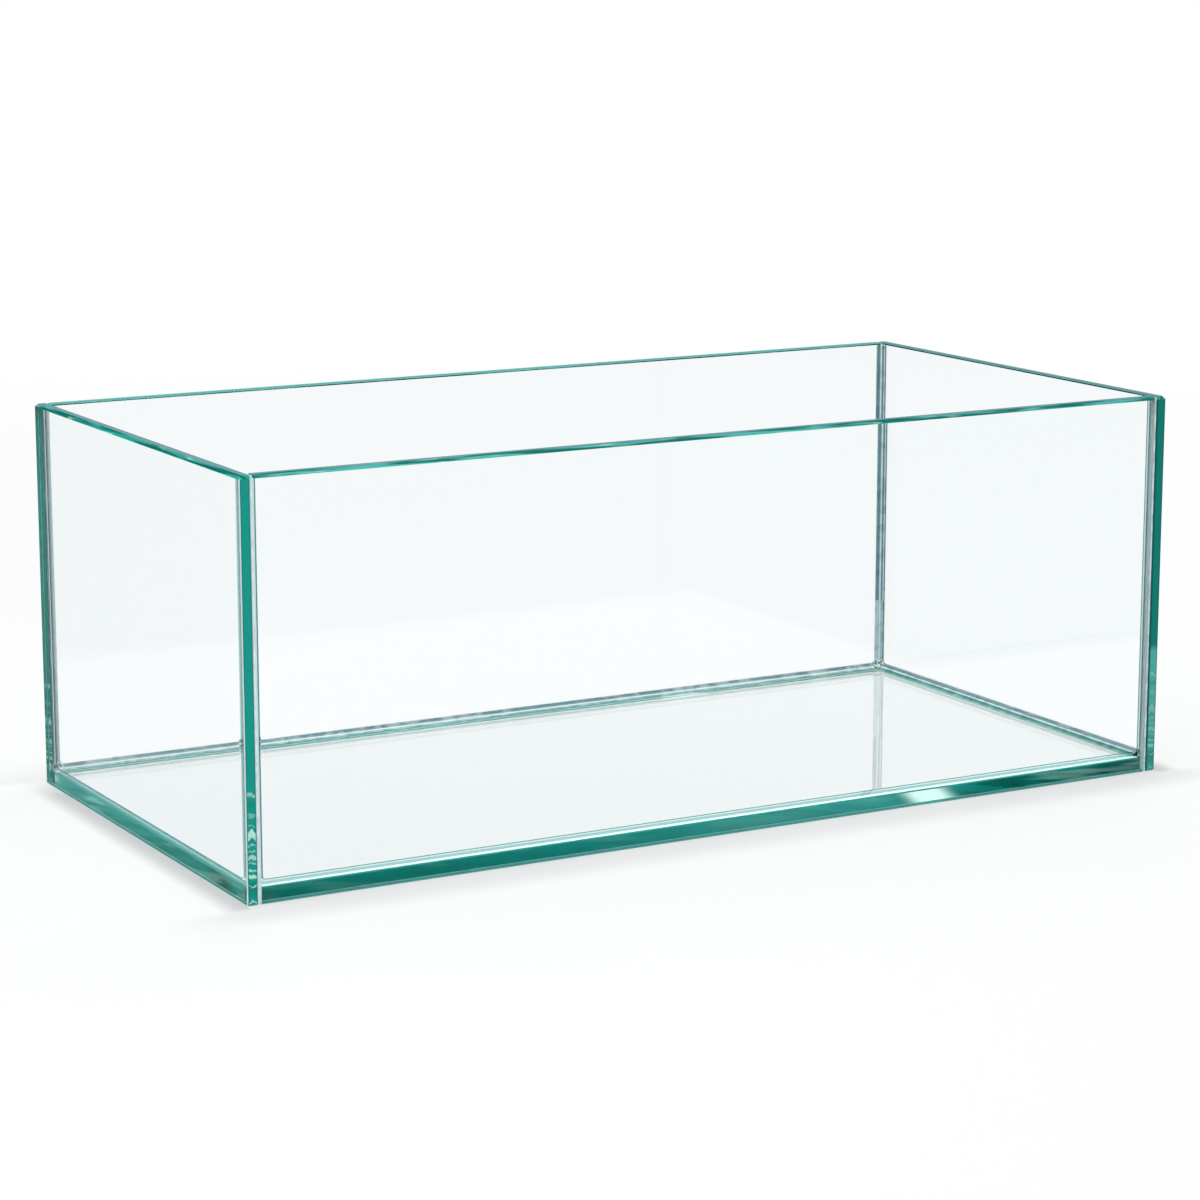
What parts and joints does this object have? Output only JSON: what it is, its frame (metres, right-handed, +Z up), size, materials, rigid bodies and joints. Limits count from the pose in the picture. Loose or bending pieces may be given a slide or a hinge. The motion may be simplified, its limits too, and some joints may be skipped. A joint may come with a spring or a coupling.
{
  "type": "aquarium",
  "caption": "Long low rimless open-top aquarium of clear float glass panes with green polished edges, bonded and sealed with clear silicone",
  "frame": {"origin": "middle of the underside, on the surface that the tank stands on", "axes": "+X along the length, the front pane faces -Y, +Z up through the open top"},
  "size_m": [0.9, 0.45, 0.345],
  "materials": {
    "float_glass": "polished clear float glass with ground and polished green edges",
    "silicone_bond": "clear neutral silicone, cut flush",
    "silicone_bead": "clear neutral silicone, tooled smooth and glossy"
  },
  "bodies": {
    "root": {"front_pane": "float_glass", "back_pane": "float_glass", "left_pane": "float_glass", "right_pane": "float_glass", "base_pane": "float_glass", "front_left_bond": "silicone_bond", "back_left_bond": "silicone_bond", "front_right_bond": "silicone_bond", "back_right_bond": "silicone_bond", "left_base_bond": "silicone_bond", "right_base_bond": "silicone_bond", "front_base_bond": "silicone_bond", "back_base_bond": "silicone_bond", "front_left_bead": "silicone_bead", "back_left_bead": "silicone_bead", "front_right_bead": "silicone_bead", "back_right_bead": "silicone_bead", "left_floor_bead": "silicone_bead", "right_floor_bead": "silicone_bead", "front_floor_bead": "silicone_bead", "back_floor_bead": "silicone_bead"}
  },
  "joints": []
}
